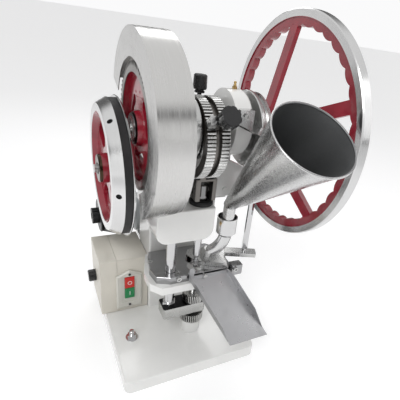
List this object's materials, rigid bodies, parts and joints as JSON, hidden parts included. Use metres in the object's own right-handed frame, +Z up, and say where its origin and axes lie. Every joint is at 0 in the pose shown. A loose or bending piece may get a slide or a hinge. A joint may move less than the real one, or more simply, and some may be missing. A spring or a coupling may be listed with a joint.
{
  "type": "tablet press",
  "caption": "Bench single-punch tablet press: handwheel and belt pulley turn an eccentric that drives the upper punch, with cams for feeder and ejection.",
  "frame": {"origin": "on the punch axis, at the underside of the base plate", "axes": "+Z up along the punch axis; +X along the main shaft towards the handwheel; +Y back towards the column and motor"},
  "size_m": [0.396, 0.5776, 0.7467],
  "materials": {
    "white_paint": "gloss white enamel on castings",
    "grey_paint": "satin grey",
    "red_paint": "gloss deep red on webs and spokes, turned steel on the rims",
    "steel": "turned and ground steel",
    "oily_steel": "dark oiled steel",
    "stainless": "brushed stainless sheet",
    "chrome": "polished",
    "bronze": "plain bearing bronze",
    "brass": "turned brass",
    "black_plastic": "moulded",
    "box_plastic": "beige-grey moulded case",
    "red_plastic": "push button",
    "green_plastic": "push button",
    "rubber": "matt black",
    "black_steel": "blackened"
  },
  "bodies": {
    "frame": {"base_plate": "white_paint", "levelling_screws": "steel", "column": "white_paint", "table_arm": "white_paint", "head_casting": "white_paint", "left_bearing_housing": "white_paint", "right_bearing_housing": "white_paint", "feeder_bracket": "white_paint", "shaft_bushes": "bronze", "guide_bushes": "bronze", "gear_guard": "stainless", "cover_screws": "black_steel", "v_belt": "rubber", "motor_body": "grey_paint", "motor_fan_cover": "black_plastic", "motor_mount": "white_paint", "box_body": "box_plastic", "box_cover": "box_plastic", "switch_plate": "box_plastic", "die_table": "steel", "die": "steel", "frame_screws": "steel", "chute": "stainless", "hopper": "stainless", "hopper_bracket": "stainless", "grease_nipple": "brass", "dust_boot": "rubber", "countershaft_flange": "steel"},
    "crankshaft": {"main_shaft": "steel", "bull_gear": "oily_steel", "ejection_cam": "steel", "feed_cam": "steel", "handwheel": "red_paint"},
    "connecting_rod": {"eccentric_sleeve": "steel", "adjusting_rings": "steel", "connecting_strap": "steel", "oil_cup": "black_plastic", "clamp_stem": "steel"},
    "clamp_knob": {"star_knob": "black_plastic"},
    "upper_ram": {"slide_rod": "chrome", "upper_punch": "steel"},
    "lifter": {"lifting_rod": "chrome", "follower_yoke": "steel", "lifting_bar": "black_steel"},
    "lower_ram": {"lower_punch": "steel"},
    "weight_gear": {"upper_adjusting_gear": "steel"},
    "ejection_gear": {"lower_adjusting_gear": "steel"},
    "countershaft": {"pinion_shaft": "steel", "belt_pulley": "red_paint"},
    "motor_rotor": {"motor_shaft": "steel", "motor_pulley": "black_steel"},
    "feeder": {"feed_shoe": "stainless", "feed_tube": "stainless", "feeder_arm": "steel", "hex_shaft": "chrome", "cam_rocker": "steel"},
    "stop_key": {"stop_button": "red_plastic"},
    "start_key": {"start_button": "green_plastic"},
    "speed_dial": {"speed_knob": "black_plastic"}
  },
  "joints": [
    {"name": "main_shaft_turn", "type": "hinge", "parent": "frame", "child": "crankshaft", "pos_m": [0, 0, 0.528], "axis": [1, 0, 0], "continuous": true},
    {"name": "connecting_rod_turn", "type": "hinge", "parent": "crankshaft", "child": "connecting_rod", "pos_m": [0, 0, 0.511], "axis": [1, 0, 0], "continuous": true},
    {"name": "knob_turn", "type": "hinge", "parent": "connecting_rod", "child": "clamp_knob", "pos_m": [-0.0015, -0.08705, 0.56971], "axis": [0, -0.829, 0.5592], "range_deg": [-180, 180]},
    {"name": "countershaft_turn", "type": "hinge", "parent": "frame", "child": "countershaft", "pos_m": [-0.1, 0.08118, 0.42775], "axis": [1, 0, 0], "continuous": true},
    {"name": "motor_turn", "type": "hinge", "parent": "frame", "child": "motor_rotor", "pos_m": [-0.1, 0.25, 0.235], "axis": [1, 0, 0], "continuous": true},
    {"name": "upper_ram_slide", "type": "slide", "parent": "frame", "child": "upper_ram", "axis": [0, 0, 1], "range_m": [-0.014, 0.034]},
    {"name": "lifter_slide", "type": "slide", "parent": "frame", "child": "lifter", "axis": [0, 0, 1], "range_m": [0, 0.015]},
    {"name": "lower_ram_slide", "type": "slide", "parent": "frame", "child": "lower_ram", "axis": [0, 0, 1], "range_m": [0, 0.015]},
    {"name": "weight_gear_turn", "type": "hinge", "parent": "lower_ram", "child": "weight_gear", "pos_m": [0, 0, 0.134], "axis": [0, 0, 1], "range_deg": [-180, 180]},
    {"name": "ejection_gear_turn", "type": "hinge", "parent": "lower_ram", "child": "ejection_gear", "pos_m": [0, 0, 0.078], "axis": [0, 0, 1], "range_deg": [-180, 180]},
    {"name": "feeder_swing", "type": "hinge", "parent": "frame", "child": "feeder", "pos_m": [0.122, -0.002, 0.3], "axis": [0, 0, 1], "range_deg": [0, 14.5]},
    {"name": "stop_press", "type": "slide", "parent": "frame", "child": "stop_key", "axis": [0, 1, 0], "range_m": [0, 0.003], "stiffness_N_per_m": 400, "springref_m": -0.001},
    {"name": "start_press", "type": "slide", "parent": "frame", "child": "start_key", "axis": [0, 1, 0], "range_m": [0, 0.003], "stiffness_N_per_m": 400, "springref_m": -0.001},
    {"name": "speed_turn", "type": "hinge", "parent": "frame", "child": "speed_dial", "pos_m": [-0.2, 0.182, 0.102], "axis": [-1, 0, 0], "range_deg": [-150, 150]}
  ],
  "couplings": [
    {"joint": "connecting_rod_turn", "follows": "main_shaft_turn", "ratio": -1},
    {"joint": "countershaft_turn", "follows": "main_shaft_turn", "ratio": -3.7778},
    {"joint": "motor_turn", "follows": "main_shaft_turn", "ratio": -13.093},
    {"joint": "lower_ram_slide", "follows": "lifter_slide", "ratio": 1}
  ]
}
